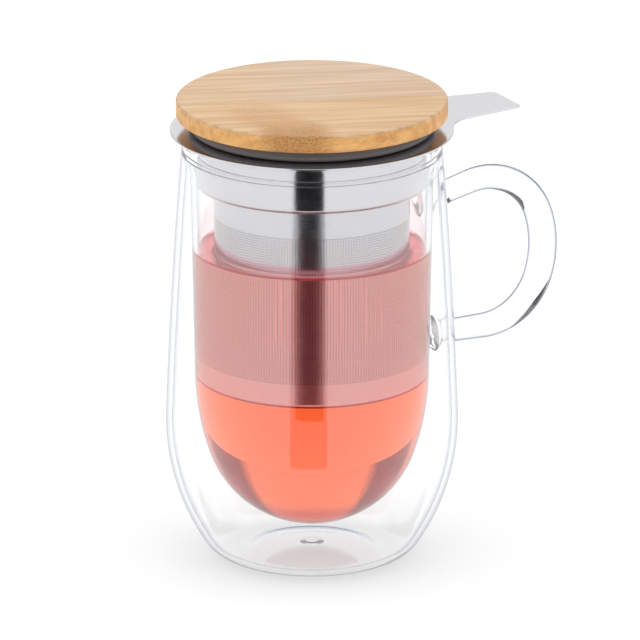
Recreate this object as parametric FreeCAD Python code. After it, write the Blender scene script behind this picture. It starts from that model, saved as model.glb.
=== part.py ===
# Double-walled glass tea mug with a drop-in steel infuser and a loose bamboo lid.
# Millimetres, +Z up. The origin is where the mug's axis meets the table.
# The handle and the infuser's thumb tab both point along +X.
import FreeCAD, Part
import math
import os

from FreeCAD import Vector

# Outer glass wall
mug_h = 135.6
belly_r = 45.0
belly_z = 44.0
foot_r = 22.5
foot_w = 2.0
foot_corner_r = 13.5
punt_rise = 2.8
outer_t = 1.8
mouth_inset = 4.8
rim_depth = 6.4
shoulder_start_deg = 2.0

# Vent hole of the sealed cavity and the glass drop that closes it
vent_r = 1.5
vent_head_r = 2.6
vent_head_h = 0.7

# Inner glass bowl
bowl_under_z = 11.0
bowl_t = 1.7
rim_t = 4.3
bowl_draft_deg = 1.16
bowl_dome_inset = 4.1
bowl_side_r = 84.0

# Glass rod handle, measured on its centre line
handle_out = 35.6
handle_top_z = 112.2
handle_low_z = 64.6
handle_corner_r = 20.3
handle_side_r = 31.4
handle_rise_deg = 14.0
rod_thin_r = 3.6
rod_thick_r = 4.5
pad_r = 5.6
pad_flare = 2.6
rod_start_share = 0.85

# Infuser
sheet_t = 0.5
flange_over = 3.4
seat_gap = 0.15
collar_gap = 0.3
collar_depth = 17.0
collar_corner_r = 2.0
bend_r = 0.7
neck_len = 3.0
step_w = 5.27
sleeve_t = 0.35
basket_depth = 80.2
floor_wall = 2.5
floor_corner_r = 1.5

# Thumb tab of the infuser
tab_len = 24.9
tab_tip_half = 8.9
tab_taper_len = 16.5
tab_root_half = 11.4
tab_root_fillet = 12.0
tab_corner_r = 2.4

# Bamboo lid, sawn from a board glued up of wide strips
lid_inset = 1.9
lid_t = 5.4
lid_top_edge_r = 0.9
lid_low_edge_r = 0.5
front_strip_w = 17.6
strip_shift = -2.6
strip_deg = -20.5
strip_count = 4
plug_depth = 5.0
plug_gap = 1.1
plug_foot_h = 2.4
plug_chamfer = 0.8
seal_groove = 1.4

# Silicone ring of the lid
seal_stand = 4.4
seal_gap = 0.15
bead_inset = 3.9
bead_curve_r = 1.7
lip_start = 0.3
lip_edge_low = 0.4
lip_edge_high = 0.7
lip_gap = 0.2
lip_h = 0.9
lip_pitch = 2.0
lip_count = 2
seal_skirt_inset = 0.8

# Levels and radii that follow from the sizes above
mouth_r = belly_r - mouth_inset
bore_r = mouth_r - rim_t
bowl_dome_r = bore_r + bowl_t - bowl_dome_inset
handle_reach = belly_r + handle_out
flange_r = mouth_r + flange_over
tab_tip_x = flange_r + tab_len
tab_root_x = tab_tip_x - tab_taper_len
lid_r = flange_r - lid_inset
strip_w = lid_r - front_strip_w + strip_shift
bead_r = lid_r - bead_inset
joint_z = mug_h - rim_depth
flange_low_z = mug_h + seat_gap
flange_top_z = flange_low_z + sheet_t
step_z = flange_top_z - collar_depth
basket_low_z = flange_top_z - basket_depth
lid_low_z = flange_top_z + seal_stand
lid_top_z = lid_low_z + lid_t
plug_low_z = flange_top_z - plug_depth
bowl_draft = math.radians(bowl_draft_deg)


def at(r, z):
    """A point of a half section, r from the axis and z above the table."""
    return Vector(r, 0, z)


def line(a, b):
    return Part.LineSegment(a, b).toShape()


def arc(centre, a, b):
    """The shorter arc from a to b about centre."""
    half = (a - centre) + (b - centre)
    half.normalize()
    return Part.Arc(a, centre + half * (a - centre).Length, b).toShape()


def through(a, b, c):
    return Part.Arc(a, b, c).toShape()


def chain(points):
    return [line(a, b) for a, b in zip(points, points[1:])]


def turned(edges):
    """The solid that a closed half section sweeps about the mug's axis."""
    face = Part.Face(Part.Wire(Part.__sortEdges__(edges)))
    return face.revolve(Vector(0, 0, 0), Vector(0, 0, 1), 360)


def save(name, shape):
    if shape.ShapeType == "Compound" and len(shape.Solids) == 1:
        shape = shape.Solids[0]
    assert shape.isValid(), name
    shape.exportStep("parts/" + name + ".step")
    box = shape.BoundBox
    print(
        f"{name}: {len(shape.Solids)} solid, {shape.Volume / 1000:.2f} cm3,"
        f" z {box.ZMin:.2f} to {box.ZMax:.2f}, x {box.XMin:.2f} to {box.XMax:.2f}"
    )


class OuterLine:
    """The outer wall's curve, moved inwards by inset: foot corner, belly and shoulder, all tangent."""

    def __init__(self, inset):
        a = belly_r - foot_r
        b = belly_z - foot_corner_r
        belly_curve_r = (a * a + b * b - foot_corner_r**2) / (2 * (a - foot_corner_r))
        corner_c = at(foot_r, foot_corner_r)
        belly_c = at(belly_r - belly_curve_r, belly_z)
        meet = corner_c - belly_c
        meet.normalize()
        turn = math.radians(shoulder_start_deg)
        out = at(math.cos(turn), math.sin(turn))
        start = belly_c + out * belly_curve_r
        to_joint = at(mouth_r, joint_z) - start
        shoulder_curve_r = to_joint.Length**2 / (-2 * to_joint.dot(out))
        shoulder_c = start - out * shoulder_curve_r
        self.end_normal = at(mouth_r, joint_z) - shoulder_c
        self.end_normal.normalize()
        self.foot = at(foot_r, inset)
        self.low = corner_c + meet * (foot_corner_r - inset)
        self.high = belly_c + out * (belly_curve_r - inset)
        shoulder_r = shoulder_curve_r - inset
        drop = joint_z - shoulder_c.z
        self.end = at(shoulder_c.x + math.sqrt(shoulder_r**2 - drop**2), joint_z)
        self.edges = [
            arc(corner_c, self.foot, self.low),
            arc(belly_c, self.low, self.high),
            arc(shoulder_c, self.high, self.end),
        ]


def punt_edges(inset):
    """The hollow under the foot, from the vent hole to the foot ring."""
    edge = at(foot_r - foot_w, inset)
    sphere_r = (edge.x**2 + punt_rise**2) / (2 * punt_rise)
    centre = at(0, inset + punt_rise - sphere_r)
    hole = at(vent_r, centre.z + math.sqrt(sphere_r**2 - vent_r**2))
    return hole, arc(centre, hole, edge), edge


def make_outer_wall():
    outside = OuterLine(0)
    inside = OuterLine(outer_t)
    hole_low, punt_low, foot_in = punt_edges(0)
    hole_high, punt_high, floor_in = punt_edges(outer_t)
    return turned(
        [punt_low, line(foot_in, outside.foot)]
        + outside.edges
        + [line(outside.end, inside.end)]
        + inside.edges
        + [line(inside.foot, floor_in), punt_high, line(hole_high, hole_low)]
    )


def make_vent_seal():
    """A drop of glass that closes the vent, with a low head on each side of the wall."""
    low = punt_edges(0)[0].z
    high = punt_edges(outer_t)[0].z
    cap_share = math.sqrt(0.5)
    return turned(
        [
            through(
                at(0, low - vent_head_h),
                at(vent_head_r * cap_share, low - vent_head_h * math.sqrt(1 - cap_share**2)),
                at(vent_head_r, low - punt_fall(vent_head_r)),
            ),
            line(at(vent_head_r, low - punt_fall(vent_head_r)), at(vent_r, low)),
            line(at(vent_r, low), at(vent_r, high)),
            line(at(vent_r, high), at(0, high)),
            line(at(0, high), at(0, low - vent_head_h)),
        ]
    )


def punt_fall(r):
    """How much lower the hollow's underside is at radius r than at the vent's edge."""
    edge_r = foot_r - foot_w
    sphere_r = (edge_r**2 + punt_rise**2) / (2 * punt_rise)
    return math.sqrt(sphere_r**2 - vent_r**2) - math.sqrt(sphere_r**2 - r**2)


class BowlLine:
    """The bowl's curve, moved inwards by inset: domed bottom, side and drafted wall, all tangent."""

    def __init__(self, inset):
        up = at(math.sin(bowl_draft), math.cos(bowl_draft))
        out = at(math.cos(bowl_draft), -math.sin(bowl_draft))
        mouth = at(bore_r, mug_h) + out * bowl_t
        dome_c = at(0, bowl_under_z + bowl_dome_r)
        apart = mouth - out * bowl_side_r - dome_c
        reach = bowl_side_r - bowl_dome_r
        along = apart.dot(up)
        down = along - math.sqrt(along**2 - apart.Length**2 + reach**2)
        side_c = mouth - out * bowl_side_r - up * down
        meet = dome_c - side_c
        meet.normalize()
        self.up = up
        self.bottom = at(0, bowl_under_z + inset)
        self.low = dome_c + meet * (bowl_dome_r - inset)
        self.high = side_c + out * (bowl_side_r - inset)
        self.edges = [
            arc(dome_c, self.bottom, self.low),
            arc(side_c, self.low, self.high),
        ]

    def on_wall(self, z):
        return self.high + self.up * ((z - self.high.z) / self.up.z)


def make_inner_bowl():
    outside = BowlLine(0)
    inside = BowlLine(bowl_t)
    shell = OuterLine(0)
    leave = outside.on_wall(joint_z)
    half_t = (shell.end.x - inside.on_wall(mug_h).x) / 2
    bead_z = mug_h - half_t
    lean = shell.end_normal.z / shell.end_normal.x
    bead_out = at(shell.end.x - lean * (bead_z - joint_z), bead_z)
    bead_in = inside.on_wall(bead_z)
    bead_top = at((bead_out.x + bead_in.x) / 2, mug_h)
    return turned(
        outside.edges
        + chain([outside.high, leave, shell.end, bead_out])
        + [through(bead_out, bead_top, bead_in), line(bead_in, inside.high)]
        + inside.edges
        + [line(inside.bottom, outside.bottom)]
    )


def mug_block():
    """The mug's outer surface as one filled body, to trim what is fused to it."""
    outside = OuterLine(0)
    top = at(0, joint_z)
    return turned(
        [line(at(0, 0), outside.foot)]
        + outside.edges
        + [line(outside.end, top), line(top, at(0, 0))]
    )


def handle_path():
    """Stretches of the rod's centre line from the upper to the lower end."""
    rise = math.radians(handle_rise_deg)
    low_c_z = handle_low_z + handle_corner_r
    top_c_z = handle_top_z - handle_corner_r
    half = (top_c_z - low_c_z) / 2
    side_c = at(handle_reach - handle_side_r, (top_c_z + low_c_z) / 2)
    swing = math.asin(half / (handle_side_r - handle_corner_r))
    corner_x = side_c.x + (handle_side_r - handle_corner_r) * math.cos(swing)
    top_c = at(corner_x, top_c_z)
    low_c = at(corner_x, low_c_z)
    quarter = math.pi / 2
    first = top_c + at(-math.sin(rise), math.cos(rise)) * handle_corner_r
    inside_wall = belly_r * rod_start_share
    start = first - at(math.cos(rise), math.sin(rise)) * (
        (first.x - inside_wall) / math.cos(rise)
    )
    return [
        ("line", start, first),
        ("arc", top_c, handle_corner_r, quarter + rise, swing),
        ("arc", side_c, handle_side_r, swing, -swing),
        ("arc", low_c, handle_corner_r, -swing, -quarter),
        ("line", at(corner_x, handle_low_z), at(inside_wall, handle_low_z)),
    ]


def stretch_length(stretch):
    if stretch[0] == "line":
        return (stretch[2] - stretch[1]).Length
    return stretch[2] * abs(stretch[3] - stretch[4])


def place_on(stretch, share):
    """The point and the direction of travel at a share of one stretch."""
    if stretch[0] == "line":
        run = stretch[2] - stretch[1]
        point = stretch[1] + run * share
        run.normalize()
        return point, run
    centre, radius, first, last = stretch[1:]
    angle = first + (last - first) * share
    point = centre + at(math.cos(angle), math.sin(angle)) * radius
    return point, at(math.sin(angle), -math.cos(angle))


def wall_x(z):
    """The outer wall's radius at height z, found on the filled body's curve."""
    outside = OuterLine(0)
    ray = line(at(0, z), at(2 * belly_r, z))
    hits = [edge.distToShape(ray) for edge in outside.edges]
    nearest = min(hits, key=lambda hit: hit[0])
    return nearest[1][0][0].x


def make_handle():
    """A bent glass rod, thicker at the grip and flared where it is fused to the wall."""
    path = handle_path()
    lengths = [stretch_length(s) for s in path]
    whole = sum(lengths)
    root_high = wall_x(path[0][2].z - (path[0][2].x - belly_r) * math.tan(math.radians(handle_rise_deg)))
    root_low = wall_x(handle_low_z)
    flare_steps = [pad_flare * share for share in (-0.75, -0.25, 0.25, 0.75, 1.3, 2.1, 3.1)]
    arc_steps = [0, 0.25, 0.5, 0.75]
    spots = []
    done = 0.0
    for number, stretch in enumerate(path):
        if stretch[0] == "arc":
            shares = arc_steps
        elif number == 0:
            shares = [
                (root_high + step - stretch[1].x) / (stretch[2].x - stretch[1].x)
                for step in flare_steps
            ]
        else:
            shares = [0] + [
                (stretch[1].x - root_low - step) / (stretch[1].x - stretch[2].x)
                for step in reversed(flare_steps)
            ]
        for share in shares:
            spots.append((stretch, share, done + share * lengths[number]))
        done += lengths[number]
    rings = []
    for stretch, share, along in spots:
        point, way = place_on(stretch, share)
        grip = math.sin(math.pi * along / whole) ** 2
        radius = rod_thin_r + (rod_thick_r - rod_thin_r) * grip
        root = root_high if stretch is path[0] else root_low
        off = max(point.x - root, 0) if stretch[0] == "line" else 4 * pad_flare
        radius += (pad_r - rod_thin_r) * math.exp(-((off / pad_flare) ** 2))
        rings.append(Part.Wire(Part.makeCircle(radius, point, way)))
    rod = Part.makeLoft(rings, True, False)
    return rod.cut(mug_block())


def bore_at(z):
    return BowlLine(bowl_t).on_wall(z).x


collar_r = bore_at(step_z) - collar_gap
collar_bore = collar_r - sheet_t
basket_r = collar_r - step_w
neck_r = basket_r - sleeve_t


def make_tab():
    """The tab's flat outline, with wide root fillets that run into the flange."""
    slope = (tab_root_half - tab_tip_half) / (tab_tip_x - tab_root_x)
    run = Vector(1, -slope, 0)
    run.normalize()
    out = Vector(-run.y, run.x, 0)
    tip = Vector(tab_tip_x, tab_tip_half, 0)
    beside = tip + out * tab_root_fillet
    reach = flange_r + tab_root_fillet
    along = beside.dot(run)
    back = along - math.sqrt(along**2 - beside.Length**2 + reach**2)
    root_c = beside - run * back
    on_flange = root_c * (flange_r / reach)
    on_side = root_c - out * tab_root_fillet
    corner_back = tab_corner_r * math.tan((math.pi / 2 - math.atan(slope)) / 2)
    side_end = tip - run * corner_back
    tip_end = Vector(tab_tip_x, tab_tip_half - corner_back, 0)
    corner_c = side_end - out * tab_corner_r

    def low(p):
        return Vector(p.x, -p.y, 0)

    edges = [
        arc(root_c, on_flange, on_side),
        line(on_side, side_end),
        arc(corner_c, side_end, tip_end),
        line(tip_end, low(tip_end)),
        arc(low(corner_c), low(tip_end), low(side_end)),
        line(low(side_end), low(on_side)),
        arc(low(root_c), low(on_side), low(on_flange)),
        line(low(on_flange), on_flange),
    ]
    plate = Part.Face(Part.Wire(edges)).extrude(Vector(0, 0, sheet_t))
    plate.translate(Vector(0, 0, flange_low_z))
    return plate


def make_infuser_rim():
    """Flange, tab, collar and neck, drawn from one sheet."""
    t = sheet_t
    outer_bend = bend_r + t
    top_in = collar_bore + outer_bend
    corner_in = collar_corner_r - t
    corner_r = collar_r - collar_corner_r
    floor_z = step_z + t
    neck_turn = neck_r + bend_r
    neck_end_z = step_z - neck_len
    bend_c = at(top_in, flange_low_z - bend_r)
    corner_c = at(corner_r, step_z + collar_corner_r)
    neck_c = at(neck_turn, step_z - bend_r)
    above = [
        line(at(flange_r, flange_low_z), at(flange_r, flange_top_z)),
        line(at(flange_r, flange_top_z), at(top_in, flange_top_z)),
        arc(bend_c, at(top_in, flange_top_z), at(collar_bore, bend_c.z)),
        line(at(collar_bore, bend_c.z), at(collar_bore, corner_c.z)),
        arc(corner_c, at(collar_bore, corner_c.z), at(corner_r, floor_z)),
        line(at(corner_r, floor_z), at(neck_turn, floor_z)),
        arc(neck_c, at(neck_turn, floor_z), at(neck_r - t, neck_c.z)),
        line(at(neck_r - t, neck_c.z), at(neck_r - t, neck_end_z)),
    ]
    below = [
        line(at(neck_r - t, neck_end_z), at(neck_r, neck_end_z)),
        line(at(neck_r, neck_end_z), at(neck_r, neck_c.z)),
        arc(neck_c, at(neck_r, neck_c.z), at(neck_turn, step_z)),
        line(at(neck_turn, step_z), at(corner_r, step_z)),
        arc(corner_c, at(corner_r, step_z), at(collar_r, corner_c.z)),
        line(at(collar_r, corner_c.z), at(collar_r, bend_c.z)),
        arc(bend_c, at(collar_r, bend_c.z), at(top_in, flange_low_z)),
        line(at(top_in, flange_low_z), at(flange_r, flange_low_z)),
    ]
    return turned(above + below).fuse(make_tab()).removeSplitter()


def make_infuser_sleeve():
    """The rolled and welded strainer tube, whose fine holes are too many to draw here."""
    low = basket_low_z + floor_corner_r
    high = step_z - bend_r
    corners = [at(neck_r, low), at(basket_r, low), at(basket_r, high), at(neck_r, high)]
    return turned(chain(corners + corners[:1]))


def make_infuser_floor():
    """A shallow pressed cup welded inside the sleeve's lower end."""
    t = sheet_t
    corner_c = at(neck_r - floor_corner_r, basket_low_z + floor_corner_r)
    top_z = basket_low_z + floor_wall
    floor_z = basket_low_z + t
    return turned(
        [
            line(at(0, basket_low_z), at(corner_c.x, basket_low_z)),
            arc(corner_c, at(corner_c.x, basket_low_z), at(neck_r, corner_c.z)),
            line(at(neck_r, corner_c.z), at(neck_r, top_z)),
            line(at(neck_r, top_z), at(neck_r - t, top_z)),
            line(at(neck_r - t, top_z), at(neck_r - t, corner_c.z)),
            arc(corner_c, at(neck_r - t, corner_c.z), at(corner_c.x, floor_z)),
            line(at(corner_c.x, floor_z), at(0, floor_z)),
            line(at(0, floor_z), at(0, basket_low_z)),
        ]
    )


plug_r = collar_bore - plug_gap
groove_r = plug_r - seal_groove
groove_low_z = plug_low_z + plug_foot_h


def make_lid_board():
    """The turned lid before it is told apart into strips: plate, grooved plug and rounded edges."""
    top_c = at(lid_r - lid_top_edge_r, lid_top_z - lid_top_edge_r)
    low_c = at(lid_r - lid_low_edge_r, lid_low_z + lid_low_edge_r)
    return turned(
        [
            line(at(0, lid_top_z), at(top_c.x, lid_top_z)),
            arc(top_c, at(top_c.x, lid_top_z), at(lid_r, top_c.z)),
            line(at(lid_r, top_c.z), at(lid_r, low_c.z)),
            arc(low_c, at(lid_r, low_c.z), at(low_c.x, lid_low_z)),
        ]
        + chain(
            [
                at(low_c.x, lid_low_z),
                at(groove_r, lid_low_z),
                at(groove_r, groove_low_z),
                at(plug_r, groove_low_z),
                at(plug_r, plug_low_z + plug_chamfer),
                at(plug_r - plug_chamfer, plug_low_z),
                at(0, plug_low_z),
                at(0, lid_top_z),
            ]
        )
    )


def make_lid_strips():
    """The board cut along its glue lines, front strip first."""
    board = make_lid_board()
    long = 3 * lid_r
    tall = 2 * (lid_top_z - plug_low_z)
    strips = []
    for number in range(strip_count):
        from_front = number - strip_count // 2
        low = strip_shift + from_front * strip_w
        wide = strip_w
        if number == 0:
            wide += lid_r
            low -= lid_r
        if number == strip_count - 1:
            wide += lid_r
        slab = Part.makeBox(long, wide, tall, Vector(-long / 2, low, plug_low_z - 1))
        slab.rotate(Vector(0, 0, 0), Vector(0, 0, 1), strip_deg)
        strips.append(board.common(slab))
    return strips


def make_lid_seal():
    """A ring with a round bead that stands on the flange and thin lips inside the collar."""
    bead_low_z = flange_top_z + seal_gap
    bead_mid_z = bead_low_z + bead_curve_r
    bead_c_r = bead_r - bead_curve_r
    skirt_r = plug_r - seal_groove + seal_skirt_inset
    lip_r = collar_bore - lip_gap
    lips = []
    for number in reversed(range(lip_count)):
        low = groove_low_z + lip_start + number * lip_pitch
        lips += [
            at(skirt_r, low + lip_h),
            at(lip_r, low + lip_h * lip_edge_high),
            at(lip_r, low + lip_h * lip_edge_low),
            at(skirt_r, low),
        ]
    return turned(
        [
            line(at(groove_r, lid_low_z), at(bead_c_r, lid_low_z)),
            line(at(bead_c_r, lid_low_z), at(bead_r, bead_mid_z)),
            through(
                at(bead_r, bead_mid_z),
                at(
                    bead_c_r + bead_curve_r * math.cos(math.pi / 4),
                    bead_mid_z - bead_curve_r * math.sin(math.pi / 4),
                ),
                at(bead_c_r, bead_low_z),
            ),
        ]
        + chain(
            [at(bead_c_r, bead_low_z), at(skirt_r, bead_low_z)]
            + lips
            + [
                at(skirt_r, groove_low_z),
                at(groove_r, groove_low_z),
                at(groove_r, lid_low_z),
            ]
        )
    )


os.makedirs("parts", exist_ok=True)
save("outer_wall", make_outer_wall())
save("vent_seal", make_vent_seal())
save("inner_bowl", make_inner_bowl())
save("handle", make_handle())
save("infuser_rim", make_infuser_rim())
save("infuser_sleeve", make_infuser_sleeve())
save("infuser_floor", make_infuser_floor())
for number, strip in enumerate(make_lid_strips(), 1):
    save(f"lid_strip_{number}", strip)
save("lid_seal", make_lid_seal())
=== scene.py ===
# Double-walled glass tea mug with a steel infuser, a bamboo lid and tea in it.
# Sizes in the profiles are millimetres and are turned into metres when a mesh is made.
import math

import bmesh
import bpy
import mathutils
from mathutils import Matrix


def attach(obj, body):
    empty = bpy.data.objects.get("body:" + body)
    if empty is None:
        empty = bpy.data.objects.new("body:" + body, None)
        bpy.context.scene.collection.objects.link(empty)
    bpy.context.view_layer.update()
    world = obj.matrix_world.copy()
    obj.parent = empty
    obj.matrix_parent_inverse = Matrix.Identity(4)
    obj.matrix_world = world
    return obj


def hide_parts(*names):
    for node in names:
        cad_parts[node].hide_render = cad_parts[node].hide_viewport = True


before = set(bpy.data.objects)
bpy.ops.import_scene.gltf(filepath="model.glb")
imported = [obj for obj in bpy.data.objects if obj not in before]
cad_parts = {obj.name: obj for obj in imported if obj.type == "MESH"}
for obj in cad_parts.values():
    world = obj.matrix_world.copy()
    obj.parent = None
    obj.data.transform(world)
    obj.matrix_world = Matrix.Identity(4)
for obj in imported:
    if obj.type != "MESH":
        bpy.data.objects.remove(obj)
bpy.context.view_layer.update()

MM = 0.001
TURN = 2 * math.pi

# Sizes of the mug, the same as in the CAD source apart from the vent head, which is lower here
MUG_H = 135.6
BELLY_R = 45.0
BELLY_Z = 44.0
FOOT_R = 22.5
FOOT_W = 2.0
FOOT_CORNER_R = 13.5
PUNT_RISE = 2.8
OUTER_T = 1.8
MOUTH_R = 40.2
JOINT_Z = 129.2
SHOULDER_START = math.radians(2.0)
VENT_R = 1.5
VENT_HEAD_R = 2.6
VENT_HEAD_H = 0.3
BOWL_UNDER_Z = 11.0
BOWL_T = 1.7
BORE_R = 35.9
BOWL_DRAFT = math.radians(1.16)
BOWL_DOME_R = 33.5
BOWL_SIDE_R = 84.0

# Handle
HANDLE_REACH = 80.6
HANDLE_TOP_Z = 112.2
HANDLE_LOW_Z = 64.6
HANDLE_CORNER_R = 20.3
HANDLE_SIDE_R = 31.4
HANDLE_RISE = math.radians(14.0)
ROD_THIN_R = 3.6
ROD_THICK_R = 4.5
PAD_R = 5.6
PAD_FLARE = 2.6

# Infuser
SHEET_T = 0.5
FLANGE_R = 43.6
FLANGE_TOP_Z = 136.25
FLANGE_LOW_Z = FLANGE_TOP_Z - SHEET_T
STEP_Z = 119.25
COLLAR_GAP = 0.3
COLLAR_CORNER_R = 2.0
BEND_R = 0.7
NECK_LEN = 3.0
STEP_W = 5.27
SLEEVE_T = 0.35
BASKET_LOW_Z = 56.05
FLOOR_WALL = 2.5
FLOOR_CORNER_R = 1.5
TAB_TIP_X = 68.5
TAB_TIP_HALF = 8.9
TAB_ROOT_X = 52.0
TAB_ROOT_HALF = 11.4
TAB_ROOT_FILLET = 12.0
TAB_CORNER_R = 2.4
EDGE = 0.12

# Lid and its ring
LID_R = 41.7
LID_LOW_Z = 140.65
LID_TOP_Z = 146.05
LID_TOP_EDGE_R = 0.9
LID_LOW_EDGE_R = 0.5
PLUG_LOW_Z = 131.25
PLUG_GAP = 1.1
PLUG_FOOT_H = 2.4
PLUG_CHAMFER = 0.8
SEAL_GROOVE = 1.4
BEAD_R = 37.8
BEAD_CURVE_R = 1.7
SEAL_LOW_Z = FLANGE_TOP_Z + 0.15
LIP_GAP = 0.2
LIP_H = 0.9
LIP_PITCH = 2.0
SKIRT_INSET = 0.8
STRIP_TURN = math.radians(-20.5)
GLUE_LINES = (-24.1, -2.6, 18.9)

# Tea
TEA_Z = 98.3
TEA_INTO_WALL = 0.12
MENISCUS_H = 1.1
MENISCUS_W = 1.6


# Looks
GLASS_IOR = 1.47
WATER_IOR = 1.33

# Infuser's etched field of holes
COLUMNS = 222
FIELD_LOW_Z = 64.0
FIELD_HIGH_Z = 110.5
ROWS = 58
HOLE_SHARE_ROUND = 0.44
HOLE_SHARE_HIGH = 0.48
INNER_SKIN_SHARE = 0.9

# A black card in front of the mug
CARD_OFF = 140.0
CARD_LEFT = -37.0
CARD_RIGHT = 25.0
CARD_H = 250.0

# Camera, in metres, and its direction, from which the studio's panels are placed too
AZIMUTH = math.radians(-28.0)
ELEVATION = math.radians(17.2)
RIGHT = (math.cos(AZIMUTH), math.sin(AZIMUTH), 0.0)
BACK = (
    math.sin(AZIMUTH) * math.cos(ELEVATION),
    -math.cos(AZIMUTH) * math.cos(ELEVATION),
    math.sin(ELEVATION),
)
CAMERA_AWAY = 6.0
SENSOR_W = 36.0
FRAME_W = 0.1973
TARGET_RIGHT = 0.00247
TARGET_UP = 0.0715


# Plane geometry in the half section: points are (radius, height) pairs
def away(p, angle, d):
    return (p[0] + math.cos(angle) * d, p[1] + math.sin(angle) * d)


def arc_points(centre, a, b, steps):
    """Points on the shorter arc from a to b about centre, both ends included."""
    radius = math.dist(centre, a)
    first = math.atan2(a[1] - centre[1], a[0] - centre[0])
    last = math.atan2(b[1] - centre[1], b[0] - centre[0])
    sweep = (last - first + math.pi) % TURN - math.pi
    return [away(centre, first + sweep * k / steps, radius) for k in range(steps + 1)]


def corner_points(corner, before, after, radius, steps=6):
    """A rounded corner between two straight runs."""
    u = (before[0] - corner[0], before[1] - corner[1])
    v = (after[0] - corner[0], after[1] - corner[1])
    lu = math.hypot(*u)
    lv = math.hypot(*v)
    u = (u[0] / lu, u[1] / lu)
    v = (v[0] / lv, v[1] / lv)
    half = math.acos(max(-1, min(1, u[0] * v[0] + u[1] * v[1]))) / 2
    back = radius / math.tan(half)
    mid = (u[0] + v[0], u[1] + v[1])
    lm = math.hypot(*mid)
    out = radius / math.sin(half)
    centre = (corner[0] + mid[0] / lm * out, corner[1] + mid[1] / lm * out)
    a = (corner[0] + u[0] * back, corner[1] + u[1] * back)
    b = (corner[0] + v[0] * back, corner[1] + v[1] * back)
    return arc_points(centre, a, b, steps)


def join(*runs):
    """One list of points from several, without doubled ends."""
    points = []
    for run in runs:
        for p in run:
            if not points or math.dist(points[-1], p) > 1e-6:
                points.append(p)
    return points


def outer_curve(inset, steps):
    """The outer wall from the foot to the joint, moved inwards by inset."""
    a = BELLY_R - FOOT_R
    b = BELLY_Z - FOOT_CORNER_R
    belly_curve = (a * a + b * b - FOOT_CORNER_R**2) / (2 * (a - FOOT_CORNER_R))
    corner = (FOOT_R, FOOT_CORNER_R)
    belly = (BELLY_R - belly_curve, BELLY_Z)
    meet = math.atan2(corner[1] - belly[1], corner[0] - belly[0])
    start = away(belly, SHOULDER_START, belly_curve)
    run = (MOUTH_R - start[0], JOINT_Z - start[1])
    shoulder_curve = (run[0] ** 2 + run[1] ** 2) / (
        -2 * (run[0] * math.cos(SHOULDER_START) + run[1] * math.sin(SHOULDER_START))
    )
    shoulder = away(start, SHOULDER_START, -shoulder_curve)
    r = shoulder_curve - inset
    end = (shoulder[0] + math.sqrt(r * r - (JOINT_Z - shoulder[1]) ** 2), JOINT_Z)
    low = away(corner, meet, FOOT_CORNER_R - inset)
    high = away(belly, SHOULDER_START, belly_curve - inset)
    return join(
        arc_points(corner, (FOOT_R, inset), low, steps),
        arc_points(belly, low, high, 2 * steps),
        arc_points(shoulder, high, end, 2 * steps),
    )


def punt_curve(inset, first_r, steps):
    """The hollow under the foot, from first_r out to the foot ring."""
    edge = (FOOT_R - FOOT_W, inset)
    sphere = (edge[0] ** 2 + PUNT_RISE**2) / (2 * PUNT_RISE)
    centre = (0, inset + PUNT_RISE - sphere)
    first = (first_r, centre[1] + math.sqrt(sphere**2 - first_r**2))
    return arc_points(centre, first, edge, steps)


def bowl_frame():
    """Centres and joints of the bowl's curve, as in the CAD source."""
    up = (math.sin(BOWL_DRAFT), math.cos(BOWL_DRAFT))
    out = (math.cos(BOWL_DRAFT), -math.sin(BOWL_DRAFT))
    mouth = (BORE_R + out[0] * BOWL_T, MUG_H + out[1] * BOWL_T)
    dome = (0, BOWL_UNDER_Z + BOWL_DOME_R)
    apart = (mouth[0] - out[0] * BOWL_SIDE_R - dome[0], mouth[1] - out[1] * BOWL_SIDE_R - dome[1])
    reach = BOWL_SIDE_R - BOWL_DOME_R
    along = apart[0] * up[0] + apart[1] * up[1]
    down = along - math.sqrt(along**2 - apart[0] ** 2 - apart[1] ** 2 + reach**2)
    side = (
        mouth[0] - out[0] * BOWL_SIDE_R - up[0] * down,
        mouth[1] - out[1] * BOWL_SIDE_R - up[1] * down,
    )
    meet = math.atan2(dome[1] - side[1], dome[0] - side[0])
    return up, dome, side, meet


def bowl_wall_at(inset, z):
    up, dome, side, meet = bowl_frame()
    high = away(side, -BOWL_DRAFT, BOWL_SIDE_R - inset)
    return (high[0] + up[0] * (z - high[1]) / up[1], z)


def bowl_curve(inset, top_z, steps):
    """The bowl from its lowest point up to top_z, moved inwards by inset."""
    up, dome, side, meet = bowl_frame()
    low = away(dome, meet, BOWL_DOME_R - inset)
    high = away(side, -BOWL_DRAFT, BOWL_SIDE_R - inset)
    rise = [bowl_wall_at(inset, high[1] + (top_z - high[1]) * k / 8) for k in range(1, 9)]
    return join(
        arc_points(dome, (0, BOWL_UNDER_Z + inset), low, steps),
        arc_points(side, low, high, steps),
        rise,
    )


# Meshes
def new_mesh(name, verts, faces, sharp_deg=32):
    """A smooth-shaded object from points in millimetres."""
    mesh = bpy.data.meshes.new(name)
    mesh.from_pydata([(x * MM, y * MM, z * MM) for x, y, z in verts], [], faces)
    mesh.validate()
    mesh.shade_smooth()
    mesh.set_sharp_from_angle(angle=math.radians(sharp_deg))
    obj = bpy.data.objects.new(name, mesh)
    bpy.context.scene.collection.objects.link(obj)
    return obj


def ring_faces(low, high):
    """Faces between two rings of vertex numbers, either of which may be a single pole."""
    n = max(len(low), len(high))
    faces = []
    for j in range(n):
        k = (j + 1) % n
        if len(low) == 1:
            faces.append((low[0], high[k], high[j]))
        elif len(high) == 1:
            faces.append((low[j], low[k], high[0]))
        else:
            faces.append((low[j], low[k], high[k], high[j]))
    return faces


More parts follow.
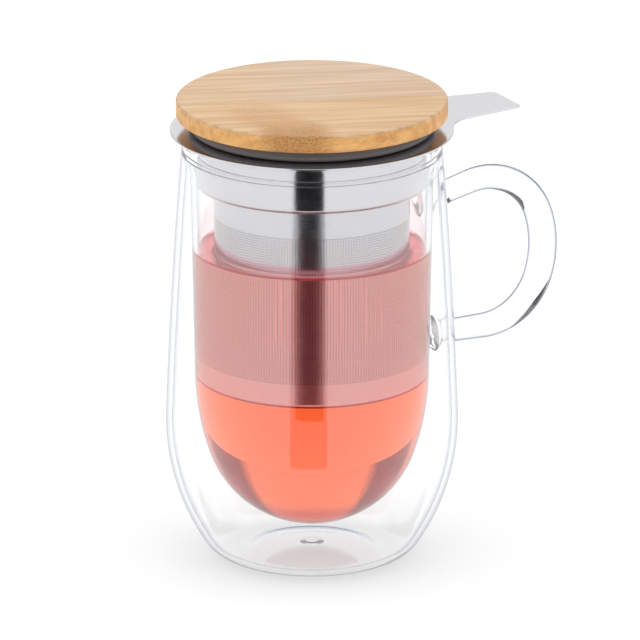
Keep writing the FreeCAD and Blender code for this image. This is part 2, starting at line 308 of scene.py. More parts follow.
def lathe_data(profile, seg, closed):
    """Vertices and faces of a turned surface, solid on the left of the profile's way."""
    verts = []
    rings = []
    for r, z in profile:
        start = len(verts)
        if r < 1e-6:
            verts.append((0, 0, z))
            rings.append([start])
            continue
        for j in range(seg):
            verts.append((r * math.cos(TURN * j / seg), r * math.sin(TURN * j / seg), z))
        rings.append(list(range(start, start + seg)))
    pairs = list(zip(rings, rings[1:]))
    if closed:
        pairs.append((rings[-1], rings[0]))
    faces = []
    for low, high in pairs:
        if len(low) > 1 or len(high) > 1:
            faces += ring_faces(low, high)
    return verts, faces


def lathe(name, profile, seg=160, closed=False, sharp_deg=32):
    return new_mesh(name, *lathe_data(profile, seg, closed), sharp_deg)


def joined(first, second):
    """Vertices and faces of two surfaces in one mesh."""
    verts, faces = first
    more, their = second
    shift = len(verts)
    return verts + more, faces + [tuple(i + shift for i in f) for f in their]


# Node helpers
def material(name):
    mat = bpy.data.materials.new(name)
    mat.use_nodes = True
    nodes = mat.node_tree.nodes
    return mat, mat.node_tree, nodes["Principled BSDF"], nodes["Material Output"]


def put(tree, kind, values=(), **settings):
    """Adds a node, sets its properties and its sockets by name or number."""
    node = tree.nodes.new(kind)
    for key, value in settings.items():
        setattr(node, key, value)
    for key, value in dict(values).items():
        if isinstance(value, bpy.types.NodeSocket):
            tree.links.new(value, node.inputs[key])
        else:
            node.inputs[key].default_value = value
    return node


def maths(tree, operation, *values):
    node = put(tree, "ShaderNodeMath", dict(enumerate(values)), operation=operation)
    return node.outputs[0]


def blend(tree, factor, a, b, mode="MIX"):
    """A colour mix, with sockets or plain colours."""
    node = put(tree, "ShaderNodeMix", data_type="RGBA", blend_type=mode)
    for key, value in ((0, factor), (6, a), (7, b)):
        if isinstance(value, bpy.types.NodeSocket):
            tree.links.new(value, node.inputs[key])
        elif key:
            node.inputs[key].default_value = (*value, 1)
        else:
            node.inputs[key].default_value = value
    return node.outputs[2]


def ramp(tree, factor, stops, mode="LINEAR"):
    """A colour ramp from (place, colour or grey) stops."""
    node = put(tree, "ShaderNodeValToRGB", {0: factor})
    node.color_ramp.interpolation = mode
    elements = node.color_ramp.elements
    while len(elements) < len(stops):
        elements.new(0.5)
    for element, (place, colour) in zip(elements, stops):
        element.position = place
        if not isinstance(colour, tuple):
            colour = (colour, colour, colour)
        element.color = (*colour, 1)
    return node.outputs[0]


def noise(tree, vector, scale, detail=2.0, rough=0.5):
    values = {"Vector": vector, "Scale": scale, "Detail": detail, "Roughness": rough}
    return put(tree, "ShaderNodeTexNoise", values).outputs[0]


def bump(tree, height, strength, distance_mm):
    values = {"Height": height, "Strength": strength, "Distance": distance_mm * MM}
    return put(tree, "ShaderNodeBump", values).outputs[0]


def glass_material(name, clear, dark):
    """Clear glass, tinted dark towards its outlines by Layer Weight: painted shade for the dark edges that
    refraction of the surroundings gives the glass.
    """
    mat, tree, shader, out = material(name)
    shader.inputs["Roughness"].default_value = 0.0
    shader.inputs["IOR"].default_value = GLASS_IOR
    shader.inputs["Transmission Weight"].default_value = 1.0
    coords = put(tree, "ShaderNodeTexCoord").outputs["Object"]
    waves = noise(tree, coords, 45.0, 1.0)
    tree.links.new(bump(tree, waves, 0.25, 0.12), shader.inputs["Normal"])
    # Painted shade: the colour goes from white to blue-black at grazing angles, which is not a colour of
    # the glass itself.
    edge = put(tree, "ShaderNodeLayerWeight", {"Blend": 0.5}).outputs["Facing"]
    middle = (clear + dark) / 2
    stops = [(clear, (1, 1, 1)), (middle, (0.55, 0.61, 0.74)), (dark, (0.06, 0.08, 0.14))]
    painted_edge_shade = ramp(tree, edge, stops)
    tree.links.new(painted_edge_shade, shader.inputs["Base Color"])
    return mat


def tea_material():
    """Clear tea: thick parts are orange by absorption. Below about 20 mm it is painted a darker red,
    painted shade for the dark light through the domed bottom, and it has a faint painted red glow.
    """
    mat, tree, shader, out = material("tea_liquid")
    shader.inputs["Roughness"].default_value = 0.0
    shader.inputs["IOR"].default_value = WATER_IOR
    shader.inputs["Transmission Weight"].default_value = 1.0
    coords = put(tree, "ShaderNodeTexCoord").outputs["Object"]
    parts = put(tree, "ShaderNodeSeparateXYZ", {0: coords})
    height = maths(tree, "MULTIPLY", parts.outputs[2], 10.0)
    # Painted shade: darker red below about 20 mm height, for the dark refraction through the domed bottom.
    painted_bottom_shade = ramp(tree, height, [(0.20, (0.50, 0.10, 0.13)), (0.235, (1.0, 0.60, 0.68))])
    tree.links.new(painted_bottom_shade, shader.inputs["Base Color"])
    # Painted light: a faint, even red glow, though the tea is no lamp.
    shader.inputs["Emission Color"].default_value = (1.0, 0.2, 0.26, 1)
    shader.inputs["Emission Strength"].default_value = 0.06
    shader.inputs["Specular Tint"].default_value = (1.0, 0.5, 0.6, 1)
    volume = put(tree, "ShaderNodeVolumeAbsorption", {"Color": (1.0, 0.58, 0.04, 1), "Density": 52.0})
    tree.links.new(volume.outputs[0], out.inputs["Volume"])
    return mat


def steel_material(name, rough, colour=(0.66, 0.655, 0.68)):
    mat, tree, shader, out = material(name)
    shader.inputs["Metallic"].default_value = 1.0
    shader.inputs["Base Color"].default_value = (*colour, 1)
    coords = put(tree, "ShaderNodeTexCoord").outputs["Object"]
    stretched = put(tree, "ShaderNodeMapping", {"Vector": coords, "Scale": (1, 1, 14)}).outputs[0]
    grain = noise(tree, stretched, 260.0, 3.0)
    low = rough * 0.8
    spread = put(
        tree,
        "ShaderNodeMapRange",
        {"Value": grain, "From Min": 0.3, "From Max": 0.7, "To Min": low, "To Max": rough * 1.2},
    )
    tree.links.new(spread.outputs[0], shader.inputs["Roughness"])
    return mat


def silicone_material():
    mat, tree, shader, out = material("grey_silicone")
    coords = put(tree, "ShaderNodeTexCoord").outputs["Object"]
    dust = noise(tree, coords, 900.0, 2.0)
    colour = blend(tree, dust, (0.17, 0.165, 0.175), (0.21, 0.205, 0.215))
    tree.links.new(colour, shader.inputs["Base Color"])
    shader.inputs["Roughness"].default_value = 0.42
    tree.links.new(bump(tree, dust, 0.3, 0.02), shader.inputs["Normal"])
    return mat


def bamboo_material():
    """Flat-pressed strips: fine fibres, a paler rear half and a darker band of nodes with open pores."""
    mat, tree, shader, out = material("bamboo_board")
    coords = put(tree, "ShaderNodeTexCoord").outputs["Object"]
    scaled = {0: coords, 1: (1000, 1000, 1000)}
    mm = put(tree, "ShaderNodeVectorMath", scaled, operation="MULTIPLY").outputs[0]
    turn = {"Vector": mm, "Rotation": (0, 0, -STRIP_TURN)}
    turned = put(tree, "ShaderNodeMapping", turn).outputs[0]
    parts = put(tree, "ShaderNodeSeparateXYZ", {0: turned})
    along, across, up = parts.outputs

    def stretched(u, v, scale, detail=3.0, rough=0.55):
        space = put(tree, "ShaderNodeMapping", {"Vector": turned, "Scale": (u, v, v)}).outputs[0]
        return noise(tree, space, scale, detail, rough)

    fibres = stretched(0.035, 2.4, 1.0, 4.0)
    streaks = stretched(0.02, 0.35, 1.0, 2.0)
    clouds = stretched(0.05, 0.09, 1.0, 2.0)

    # Strip tones: pale and pinkish behind the middle glue line, yellow-orange before it
    rear = ramp(tree, maths(tree, "MULTIPLY_ADD", across, 0.02, 0.5), [(0.425, 0.0), (0.47, 1.0)])
    front_tone = ramp(tree, streaks, [(0.35, (0.52, 0.315, 0.15)), (0.65, (0.64, 0.43, 0.245))])
    rear_tone = ramp(tree, streaks, [(0.35, (0.50, 0.335, 0.205)), (0.65, (0.585, 0.42, 0.285))])
    left = ramp(tree, maths(tree, "MULTIPLY_ADD", along, 0.02, 0.5), [(0.08, 0.35), (0.40, 1.0)])
    rear = maths(tree, "MULTIPLY", rear, left)
    tone = blend(tree, rear, front_tone, rear_tone)

    # The node band, which slants across the strips and is darkest at the front edge
    band_u = maths(tree, "MULTIPLY_ADD", across, 0.42, along)
    band_off = maths(tree, "ABSOLUTE", maths(tree, "ADD", band_u, 24.5))
    wander = maths(tree, "MULTIPLY_ADD", clouds, 9.0, -4.5)
    band = ramp(
        tree,
        maths(tree, "MULTIPLY", maths(tree, "ADD", band_off, wander), 1 / 20),
        [(0.25, 1.0), (0.75, 0.0)],
        "EASE",
    )
    forward = maths(tree, "MULTIPLY_ADD", across, -0.02, 0.1)
    front_share = ramp(tree, forward, [(0.0, 0.0), (0.35, 0.45), (0.9, 1.0)])
    band = maths(tree, "MULTIPLY", band, front_share)
    tone = blend(tree, band, tone, (0.50, 0.255, 0.085))

    # Sides are deeper in colour, as cut edges are
    side = ramp(tree, maths(tree, "SUBTRACT", up, LID_TOP_Z - 1.4), [(0.35, 1.0), (0.85, 0.0)])
    edge_tone = ramp(tree, streaks, [(0.35, (0.66, 0.31, 0.075)), (0.65, (0.84, 0.44, 0.135))])
    tone = blend(tree, maths(tree, "MULTIPLY", side, 0.85), tone, edge_tone)

    # Fibre lines
    lines = ramp(tree, fibres, [(0.34, 0.80), (0.5, 1.0), (0.7, 1.06)])
    tone = blend(tree, 0.8, tone, lines, "MULTIPLY")

    # Open pores, dense in the node band and at its foot on the side
    pore_space = put(tree, "ShaderNodeMapping", {"Vector": turned, "Scale": (1.1, 2.3, 2.3)}).outputs[0]
    pores = put(tree, "ShaderNodeTexVoronoi", {"Vector": pore_space, "Scale": 1.0}).outputs["Distance"]
    patch = stretched(0.13, 0.16, 1.0, 2.0)
    edge_u = maths(tree, "ABSOLUTE", maths(tree, "ADD", along, 10.0))
    foot = ramp(tree, maths(tree, "MULTIPLY", edge_u, 1 / 20), [(0.3, 1.0), (0.6, 0.0)])
    near_front = ramp(tree, maths(tree, "MULTIPLY", across, -1 / 42), [(0.62, 0.0), (0.85, 1.0)])
    foot = maths(tree, "MULTIPLY", foot, near_front)
    patches = maths(tree, "MULTIPLY", band, ramp(tree, patch, [(0.42, 0.1), (0.6, 0.9)]))
    where = maths(tree, "MAXIMUM", patches, foot)
    dots = ramp(tree, pores, [(0.22, 1.0), (0.42, 0.0)])
    holes = maths(tree, "MULTIPLY", dots, where)
    tone = blend(tree, maths(tree, "MULTIPLY", foot, 0.55), tone, (0.40, 0.185, 0.05))
    tone = blend(tree, maths(tree, "MULTIPLY", holes, 0.75), tone, (0.17, 0.07, 0.02))

    # Glue lines
    for place in GLUE_LINES:
        off = maths(tree, "ABSOLUTE", maths(tree, "SUBTRACT", across, place))
        near = ramp(tree, off, [(0.05, 0.80), (0.30, 1.0)])
        tone = blend(tree, 0.7, tone, near, "MULTIPLY")
    tree.links.new(tone, shader.inputs["Base Color"])
    shader.inputs["Roughness"].default_value = 0.48
    relief = maths(tree, "SUBTRACT", fibres, holes)
    tree.links.new(bump(tree, relief, 0.3, 0.05), shader.inputs["Normal"])
    return mat


def floor_material():
    mat, tree, shader, out = material("studio_floor")
    coords = put(tree, "ShaderNodeTexCoord").outputs["Object"]
    cloud = noise(tree, coords, 3.0)
    colour = blend(tree, cloud, (0.34, 0.34, 0.34), (0.36, 0.36, 0.36))
    tree.links.new(colour, shader.inputs["Base Color"])
    shader.inputs["Roughness"].default_value = 0.9
    shader.inputs["Specular IOR Level"].default_value = 0.0
    shader.inputs["Emission Color"].default_value = (1, 1, 1, 1)
    shader.inputs["Emission Strength"].default_value = 0.64
    return mat


# Glass mug: outer skin with the bowl's inside and the rod handle, and the sealed space
def rim_bead():
    """The rounded lip, from the joint of the walls over the top to the bore."""
    outside = outer_curve(0, 4)
    a, b = outside[-2], outside[-1]
    slope = (b[0] - a[0]) / (b[1] - a[1])
    bore = bowl_wall_at(BOWL_T, MUG_H)[0]
    half = (b[0] - bore) / 2
    z = MUG_H - half
    out = (b[0] + slope * (z - JOINT_Z), z)
    inner = bowl_wall_at(BOWL_T, z)
    centre = ((out[0] + inner[0]) / 2, z)
    top = (centre[0], MUG_H)
    return join([b], arc_points(centre, out, top, 8), arc_points(centre, top, inner, 8))


def glass_outside():
    head = punt_curve(0, VENT_HEAD_R, 10)
    low = punt_curve(0, VENT_R, 2)[0][1]
    drop = [
        (VENT_HEAD_R * math.sin(k * math.pi / 12), low - VENT_HEAD_H * math.cos(k * math.pi / 12))
        for k in range(6)
    ]
    inside = bowl_curve(BOWL_T, MUG_H - 4.0, 26)
    return join(drop, head, outer_curve(0, 18), rim_bead(), reversed(inside))


def glass_cavity():
    leave = bowl_wall_at(0, JOINT_Z)
    shell = outer_curve(OUTER_T, 18)
    across = shell[-1][0] - leave[0]
    centre = ((shell[-1][0] + leave[0]) / 2, JOINT_Z - across / 2)
    cap = [away(centre, math.pi * (1 - k / 8), across / 2) for k in range(9)]
    wall = bowl_curve(0, JOINT_Z - across / 2, 26)
    down = [p for p in reversed(shell) if p[1] < JOINT_Z - across / 2]
    floor = list(reversed(punt_curve(OUTER_T, 0.0, 12)))
    return join(wall, cap, down, floor)


def handle_spots(steps):
    """Points, directions and radii along the rod, with a flare at each end."""
    low_c_z = HANDLE_LOW_Z + HANDLE_CORNER_R
    top_c_z = HANDLE_TOP_Z - HANDLE_CORNER_R
    side_c = (HANDLE_REACH - HANDLE_SIDE_R, (top_c_z + low_c_z) / 2)
    swing = math.asin((top_c_z - low_c_z) / 2 / (HANDLE_SIDE_R - HANDLE_CORNER_R))
    corner_x = side_c[0] + (HANDLE_SIDE_R - HANDLE_CORNER_R) * math.cos(swing)
    quarter = math.pi / 2
    first = away((corner_x, top_c_z), quarter + HANDLE_RISE, HANDLE_CORNER_R)
    inside = BELLY_R * 0.85
    start = away(first, HANDLE_RISE, -(first[0] - inside) / math.cos(HANDLE_RISE))
    top_c = (corner_x, top_c_z)
    low_c = (corner_x, low_c_z)
    top_turn = swing - quarter - HANDLE_RISE
    run = (first[0] - start[0], first[1] - start[1])
    shares = [k / steps for k in range(steps + 1)]
    along = [k / 24 for k in range(25)]
    runs = [
        [(start[0] + run[0] * t, start[1] + run[1] * t) for t in along],
        [away(top_c, quarter + HANDLE_RISE + top_turn * t, HANDLE_CORNER_R) for t in shares],
        [away(side_c, swing * (1 - 2 * t), HANDLE_SIDE_R) for t in shares],
        [away(low_c, -swing + (swing - quarter) * t, HANDLE_CORNER_R) for t in shares],
        [(corner_x + (inside - corner_x) * t, HANDLE_LOW_Z) for t in along],
    ]
    points = join(*runs)
    lengths = [0.0]
    for a, b in zip(points, points[1:]):
        lengths.append(lengths[-1] + math.dist(a, b))
    shell = outer_curve(0, 40)

    def wall_x(z):
        return min(shell, key=lambda p: abs(p[1] - z) if p[1] > 20 else 999)[0]

    root_high = wall_x(107.0)
    root_low = wall_x(HANDLE_LOW_Z)
    spots = []
    for number, p in enumerate(points):
        share = lengths[number] / lengths[-1]
        radius = ROD_THIN_R + (ROD_THICK_R - ROD_THIN_R) * math.sin(math.pi * share) ** 2
        root = root_high if share < 0.5 else root_low
        off = max(p[0] - root, 0)
        if p[0] < corner_x:
            radius += (PAD_R - ROD_THIN_R) * math.exp(-((off / PAD_FLARE) ** 2))
        before = points[max(number - 1, 0)]
        after = points[min(number + 1, len(points) - 1)]
        way = math.atan2(after[1] - before[1], after[0] - before[0])
        spots.append((p, way, radius))
    return spots


def rod_mesh(spots, seg=48):
    verts = []
    rings = []
    for p, way, radius in spots:
        start = len(verts)
        for j in range(seg):
            t = TURN * j / seg
            side = radius * math.cos(t)
            lift = radius * math.sin(t)
            verts.append((p[0] - math.sin(way) * lift, side, p[1] + math.cos(way) * lift))
        rings.append(list(range(start, start + seg)))
    faces = []
    for low, high in zip(rings, rings[1:]):
        faces += ring_faces(low, high)
    faces.append(tuple(reversed(rings[0])))
    faces.append(tuple(rings[-1]))
    return verts, faces


def outward(obj):
    """Turns the faces of a closed mesh so that their normals point out."""
    bm = bmesh.new()
    bm.from_mesh(obj.data)
    bmesh.ops.recalc_face_normals(bm, faces=bm.faces)
    bm.to_mesh(obj.data)
    bm.free()


def fused(target, tool):
    """Target joined with tool by an exact union, which is then applied."""
    step = target.modifiers.new("union", "BOOLEAN")
    step.operation = "UNION"
    step.solver = "EXACT"
    step.object = tool
    graph = bpy.context.evaluated_depsgraph_get()
    mesh = bpy.data.meshes.new_from_object(target.evaluated_get(graph))
    target.modifiers.clear()
    old = target.data
    target.data = mesh
    bpy.data.meshes.remove(old)
    bpy.data.objects.remove(tool)
    return target


def make_glass(mat, rod_mat):
    skin = lathe("glass_mug", glass_outside(), 192)
    rod = new_mesh("rod", *rod_mesh(handle_spots(40)))
    outward(rod)
    fused(skin, rod)
    cavity = lathe_data(glass_cavity(), 192, False)
    verts = [tuple(c / MM for c in v.co) for v in skin.data.vertices]
    faces = [tuple(p.vertices) for p in skin.data.polygons]
    bpy.data.objects.remove(skin)
    obj = new_mesh("glass_mug", *joined((verts, faces), cavity), 40)
    obj.data.materials.append(mat)
    obj.data.materials.append(rod_mat)
    for face in obj.data.polygons:
        if math.hypot(face.center.x, face.center.y) > (BELLY_R + 1.0) * MM:
            face.material_index = 1
    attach(obj, "mug")
    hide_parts("outer_wall", "vent_seal", "inner_bowl", "handle")
    return obj


def make_tea(mat):
    wall = bowl_curve(BOWL_T - TEA_INTO_WALL, TEA_Z + MENISCUS_H, 26)
    edge_r = wall[-1][0]
    steps = 8
    top = [
        (edge_r - MENISCUS_W * k / steps, TEA_Z + MENISCUS_H * (1 - k / steps) ** 3)
        for k in range(1, steps + 1)
    ]
    basket = basket_radius()
    ridge = [
        (basket + off, TEA_Z + 0.7 * math.exp(-abs(off) / 0.5))
        for off in (2.0, 1.2, 0.6, 0.2, 0.0, -0.2, -0.6, -1.2, -2.0)
    ]
    obj = lathe("tea", join(wall, top, ridge, [(12, TEA_Z), (0, TEA_Z)]), 192, sharp_deg=80)
    obj.data.materials.append(mat)
    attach(obj, "mug")
    return obj


# Steel infuser
def collar_radius():
    return bowl_wall_at(BOWL_T, STEP_Z)[0] - COLLAR_GAP


def basket_radius():
    return collar_radius() - STEP_W


def tab_outline():
    """Half of the flange's outline with the tab, from the tab's middle round to the far side."""
    slope = (TAB_ROOT_HALF - TAB_TIP_HALF) / (TAB_TIP_X - TAB_ROOT_X)
    size = math.hypot(1, slope)
    run = (1 / size, -slope / size)
    out = (slope / size, 1 / size)
    tip = (TAB_TIP_X, TAB_TIP_HALF)
    beside = (tip[0] + out[0] * TAB_ROOT_FILLET, tip[1] + out[1] * TAB_ROOT_FILLET)
    reach = FLANGE_R + TAB_ROOT_FILLET
    along = beside[0] * run[0] + beside[1] * run[1]
    back = along - math.sqrt(along**2 - beside[0] ** 2 - beside[1] ** 2 + reach**2)
    root = (beside[0] - run[0] * back, beside[1] - run[1] * back)
    on_flange = (root[0] * FLANGE_R / reach, root[1] * FLANGE_R / reach)
    on_side = (root[0] - out[0] * TAB_ROOT_FILLET, root[1] - out[1] * TAB_ROOT_FILLET)
    corner = corner_points(tip, (TAB_TIP_X, 0), on_side, TAB_CORNER_R, 8)
    tip_run = [(TAB_TIP_X, corner[0][1] * k / 4) for k in range(5)]
    last = corner[-1]
    way = (on_side[0] - last[0], on_side[1] - last[1])
    side_run = [(last[0] + way[0] * k / 8, last[1] + way[1] * k / 8) for k in range(9)]
    first = math.atan2(on_flange[1], on_flange[0])
    steps = 84
    circle = [away((0, 0), first + (math.pi - first) * k / steps, FLANGE_R) for k in range(steps + 1)]
    return join(tip_run, corner, side_run, arc_points(root, on_side, on_flange, 12), circle)


def whole_outline():
    half = tab_outline()
    return half + [(x, -y) for x, y in reversed(half[1:-1])]


def inset_outline(points, d):
    """The outline moved inwards by d along its own normals."""
    moved = []
    n = len(points)
    for k in range(n):
        a = points[k - 1]
        b = points[(k + 1) % n]
        size = math.dist(a, b)
        inward = (-(b[1] - a[1]) / size, (b[0] - a[0]) / size)
        moved.append((points[k][0] + inward[0] * d, points[k][1] + inward[1] * d))
    return moved


def make_rim(mat):
    t = SHEET_T
    collar = collar_radius()
    bore = collar - t
    neck = basket_radius() - SLEEVE_T
    top_in = bore + BEND_R + t
    bend = (top_in, FLANGE_LOW_Z - BEND_R)
    corner_r = collar - COLLAR_CORNER_R
    corner = (corner_r, STEP_Z + COLLAR_CORNER_R)
    turn_r = neck + BEND_R
    neck_c = (turn_r, STEP_Z - BEND_R)
    end_z = STEP_Z - NECK_LEN
    above = join(
        arc_points(bend, (top_in, FLANGE_TOP_Z), (bore, bend[1]), 8),
        arc_points(corner, (bore, corner[1]), (corner_r, STEP_Z + t), 8),
        arc_points(neck_c, (turn_r, STEP_Z + t), (neck - t, neck_c[1]), 8),
        [(neck - t, end_z)],
    )
    below = join(
        [(neck, end_z)],
        arc_points(neck_c, (neck, neck_c[1]), (turn_r, STEP_Z), 8),
        arc_points(corner, (corner_r, STEP_Z), (collar, corner[1]), 8),
        arc_points(bend, (collar, bend[1]), (top_in, FLANGE_LOW_Z), 8),
    )
    outline = whole_outline()
    angles = [math.atan2(y, x) for x, y in outline]
    rings = []
    for r, z in above + below:
        rings.append([(r * math.cos(a), r * math.sin(a), z) for a in angles])
    edge = [
        (0.5, FLANGE_LOW_Z),
        (EDGE, FLANGE_LOW_Z),
        (EDGE * 0.3, FLANGE_LOW_Z + EDGE * 0.3),
        (0, FLANGE_LOW_Z + EDGE),
        (0, FLANGE_TOP_Z - EDGE),
        (EDGE * 0.3, FLANGE_TOP_Z - EDGE * 0.3),
        (EDGE, FLANGE_TOP_Z),
        (0.5, FLANGE_TOP_Z),
    ]
    for d, z in edge:
        rings.append([(x, y, z) for x, y in inset_outline(outline, d)])
    verts = [p for ring in rings for p in ring]
    n = len(outline)
    faces = []
    for k in range(len(rings)):
        low = [k * n + j for j in range(n)]
        high = [((k + 1) % len(rings)) * n + j for j in range(n)]
        faces += ring_faces(low, high)
    obj = new_mesh("infuser_rim_steel", verts, faces, 50)
    obj.data.materials.append(mat)
    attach(obj, "infuser")
    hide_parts("infuser_rim")
    return obj


def make_sleeve(mat, painted_shade_mat):
    """An outer and an inner skin with real square holes: full bars with short posts between. The inner skin
    is darker steel, painted shade for the inside of the sleeve.
    """
    radius = basket_radius()
    pitch = (FIELD_HIGH_Z - FIELD_LOW_Z) / ROWS
    hole_h = pitch * HOLE_SHARE_HIGH
    post = 1 - HOLE_SHARE_ROUND
    angles = []
    for k in range(COLUMNS):
        angles += [TURN * (k - post / 2) / COLUMNS, TURN * (k + post / 2) / COLUMNS]
    n = len(angles)
    levels = [BASKET_LOW_Z + FLOOR_CORNER_R, FIELD_LOW_Z - pitch]
    holed = []
    for k in range(ROWS):
        z = FIELD_LOW_Z + k * pitch
        levels += [z, z + hole_h]
        holed.append(len(levels) - 2)
    levels += [FIELD_HIGH_Z + pitch, STEP_Z - BEND_R]
    verts = [(radius * math.cos(a), radius * math.sin(a), z) for z in levels for a in angles]
    faces = []
    for row in range(len(levels) - 1):
        for j in range(n):
            if row in holed and j % 2:
                continue
            k = (j + 1) % n
            faces.append((row * n + j, row * n + k, (row + 1) * n + k, (row + 1) * n + j))
    count = len(verts)
    inner = 1 - INNER_SKIN_SHARE * SLEEVE_T / radius
    verts += [(x * inner, y * inner, z) for x, y, z in verts]
    outside = len(faces)
    faces += [tuple(count + i for i in reversed(face)) for face in faces]
    obj = new_mesh("infuser_sleeve_sheet", verts, faces)
    obj.data.materials.append(mat)
    # The inner skin's darker steel is painted shade.
    obj.data.materials.append(painted_shade_mat)
    for face in obj.data.polygons[outside:]:
        face.material_index = 1
    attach(obj, "infuser")
    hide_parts("infuser_sleeve")
    return obj


def make_floor_cup(mat):
    t = SHEET_T
    neck = basket_radius() - SLEEVE_T
    centre = (neck - FLOOR_CORNER_R, BASKET_LOW_Z + FLOOR_CORNER_R)
    top = BASKET_LOW_Z + FLOOR_WALL
    profile = join(
        [(0, BASKET_LOW_Z), (10, BASKET_LOW_Z)],
        arc_points(centre, (centre[0], BASKET_LOW_Z), (neck, centre[1]), 8),
        [(neck, top), (neck - t, top)],
        arc_points(centre, (neck - t, centre[1]), (centre[0], BASKET_LOW_Z + t), 6),
        [(10, BASKET_LOW_Z + t), (0, BASKET_LOW_Z + t)],
    )
    obj = lathe("infuser_floor_cup", profile, 128)
    obj.data.materials.append(mat)
    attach(obj, "infuser")
    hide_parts("infuser_floor")
    return obj


# Lid
def plug_radius():
    return collar_radius() - SHEET_T - PLUG_GAP


def make_lid_board(mat):
    plug = plug_radius()
    groove = plug - SEAL_GROOVE
    groove_low = PLUG_LOW_Z + PLUG_FOOT_H
    low_c = (LID_R - LID_LOW_EDGE_R, LID_LOW_Z + LID_LOW_EDGE_R)
    top_c = (LID_R - LID_TOP_EDGE_R, LID_TOP_Z - LID_TOP_EDGE_R)
    profile = join(
        [(0, PLUG_LOW_Z), (15, PLUG_LOW_Z)],
        [(plug - PLUG_CHAMFER, PLUG_LOW_Z), (plug, PLUG_LOW_Z + PLUG_CHAMFER)],
        [(plug, groove_low), (groove, groove_low), (groove, LID_LOW_Z)],
        arc_points(low_c, (low_c[0], LID_LOW_Z), (LID_R, low_c[1]), 6),
        arc_points(top_c, (LID_R, top_c[1]), (top_c[0], LID_TOP_Z), 8),
        [(28, LID_TOP_Z), (14, LID_TOP_Z), (0, LID_TOP_Z)],
    )
    obj = lathe("lid_board", profile, 192)
    obj.data.materials.append(mat)
    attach(obj, "lid")
    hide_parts("lid_strip_1", "lid_strip_2", "lid_strip_3", "lid_strip_4")
    return obj


def make_lid_ring(mat):
    bore = collar_radius() - SHEET_T
    groove = plug_radius() - SEAL_GROOVE
    groove_low = PLUG_LOW_Z + PLUG_FOOT_H
    skirt = groove + SKIRT_INSET
    lip = bore - LIP_GAP
    bead = (BEAD_R - BEAD_CURVE_R, SEAL_LOW_Z + BEAD_CURVE_R)
    lips = []
    for number in range(2):
        low = groove_low + 0.3 + number * LIP_PITCH
        lips += [(skirt, low), (lip, low + LIP_H * 0.4), (lip, low + LIP_H * 0.7), (skirt, low + LIP_H)]
    profile = join(
        [(groove, groove_low), (skirt, groove_low)],
        lips,
        [(skirt, SEAL_LOW_Z)],
        arc_points(bead, (bead[0], SEAL_LOW_Z), (BEAD_R, bead[1]), 10),
        [(bead[0], LID_LOW_Z), (groove, LID_LOW_Z)],
    )
    obj = lathe("lid_ring", profile, 160, closed=True)
    obj.data.materials.append(mat)
    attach(obj, "lid")
    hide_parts("lid_seal")
    return obj


# Camera and studio
def make_camera():
    back = mathutils.Vector(BACK)
    right = mathutils.Vector(RIGHT)
    up = back.cross(right)
    data = bpy.data.cameras.new("camera")
    data.sensor_width = SENSOR_W
    data.lens = SENSOR_W * CAMERA_AWAY / FRAME_W
    data.clip_end = 50.0
    camera = bpy.data.objects.new("camera", data)
    target = right * TARGET_RIGHT + up * TARGET_UP
    turn = mathutils.Matrix((right, up, back)).transposed()
    camera.matrix_world = mathutils.Matrix.Translation(target + back * CAMERA_AWAY) @ turn.to_4x4()
    bpy.context.scene.collection.objects.link(camera)
    bpy.context.scene.camera = camera


def card_material():
    mat, tree, shader, out = material("black_card")
    shader.inputs["Base Color"].default_value = (0.01, 0.01, 0.012, 1)
    shader.inputs["Roughness"].default_value = 1.0
    shader.inputs["Specular IOR Level"].default_value = 0.0
    return mat


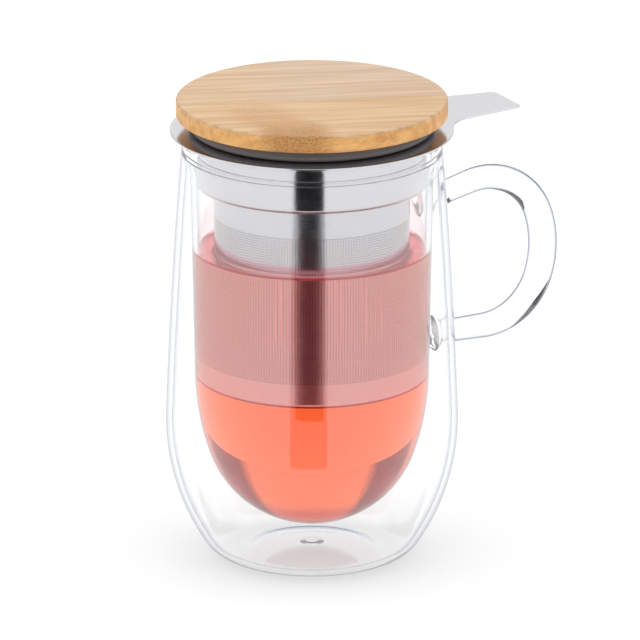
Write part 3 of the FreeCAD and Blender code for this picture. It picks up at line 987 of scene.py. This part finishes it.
def make_world():
    """A white studio with dark gaps: one in front, where the camera stands, and one at each rear corner."""
    world = bpy.data.worlds.new("studio")
    bpy.context.scene.world = world
    world.use_nodes = True
    tree = world.node_tree
    tree.nodes.clear()
    way = put(tree, "ShaderNodeTexCoord").outputs["Generated"]
    size = math.hypot(BACK[0], BACK[1])
    ahead = {0: way, 1: (BACK[0] / size, BACK[1] / size, 0)}
    front = put(tree, "ShaderNodeVectorMath", ahead, operation="DOT_PRODUCT").outputs["Value"]
    side = put(tree, "ShaderNodeVectorMath", {0: way, 1: RIGHT}, operation="DOT_PRODUCT").outputs["Value"]
    round_front = maths(tree, "ARCTAN2", side, front)
    turn = maths(tree, "ABSOLUTE", maths(tree, "ADD", round_front, math.radians(1.5)))
    share = maths(tree, "DIVIDE", turn, math.pi)
    front_stops = [(0, 0.015), (11, 0.015), (16, 0.88), (132, 0.92)]
    stops = front_stops + [(138, 0.06), (157, 0.06), (162, 1.0), (180, 1.0)]
    panels = ramp(tree, share, [(deg / 180, value) for deg, value in stops])
    parts = put(tree, "ShaderNodeSeparateXYZ", {0: way})
    height = maths(tree, "ABSOLUTE", parts.outputs[2])
    roof = ramp(tree, height, [(0.55, 0.0), (0.75, 1.0)])
    colour = blend(tree, roof, panels, (1.75, 1.75, 1.75))
    light = put(tree, "ShaderNodeBackground", {"Color": colour, "Strength": 1.0})
    plain = put(tree, "ShaderNodeBackground", {"Color": (1, 1, 1, 1), "Strength": 1.0})
    seen = put(tree, "ShaderNodeLightPath").outputs["Is Camera Ray"]
    both = put(tree, "ShaderNodeMixShader", {0: seen, 1: light.outputs[0], 2: plain.outputs[0]})
    out = put(tree, "ShaderNodeOutputWorld")
    tree.links.new(both.outputs[0], out.inputs["Surface"])


def make_floor(mat):
    verts, faces = lathe_data([(0, 0), (500, 0), (6000, 0)], 64, False)
    floor = new_mesh("studio_floor", verts, faces)
    floor.data.flip_normals()
    floor.location.z = -0.00002
    floor.data.materials.append(mat)


def make_card(mat):
    """A card that the camera doesn't see, which puts the dark strip into the steel."""
    front = (BACK[0] / math.cos(ELEVATION), BACK[1] / math.cos(ELEVATION))
    centre = (front[0] * CARD_OFF, front[1] * CARD_OFF)
    corners = []
    for side, z in ((CARD_LEFT, 0), (CARD_RIGHT, 0), (CARD_RIGHT, CARD_H), (CARD_LEFT, CARD_H)):
        corners.append((centre[0] + RIGHT[0] * side, centre[1] + RIGHT[1] * side, z))
    card = new_mesh("black_card", corners, [(0, 1, 2, 3)])
    card.data.materials.append(mat)
    card.visible_camera = False
    card.visible_diffuse = False
    card.visible_shadow = False


# Both glasses get painted shade at their outlines; on the rod it starts further from the edge and is wider.
glass = glass_material("clear_glass", 0.73, 0.88)
rod_glass = glass_material("rod_glass", 0.42, 0.64)
steel = steel_material("polished_steel", 0.13)
etched = steel_material("etched_steel", 0.22)
# A darker copy of the etched steel: painted shade for the sleeve's inside.
inside = steel_material("etched_steel_painted_shade", 0.4, (0.15, 0.145, 0.15))
make_camera()
make_world()
make_floor(floor_material())
make_card(card_material())
make_glass(glass, rod_glass)
make_tea(tea_material())
make_rim(steel)
make_sleeve(etched, inside)
make_floor_cup(steel)
make_lid_board(bamboo_material())
make_lid_ring(silicone_material())

scene = bpy.context.scene
scene.view_settings.view_transform = "Standard"
scene.cycles.max_bounces = 32
scene.cycles.transmission_bounces = 32
scene.cycles.glossy_bounces = 12
scene.cycles.transparent_max_bounces = 32
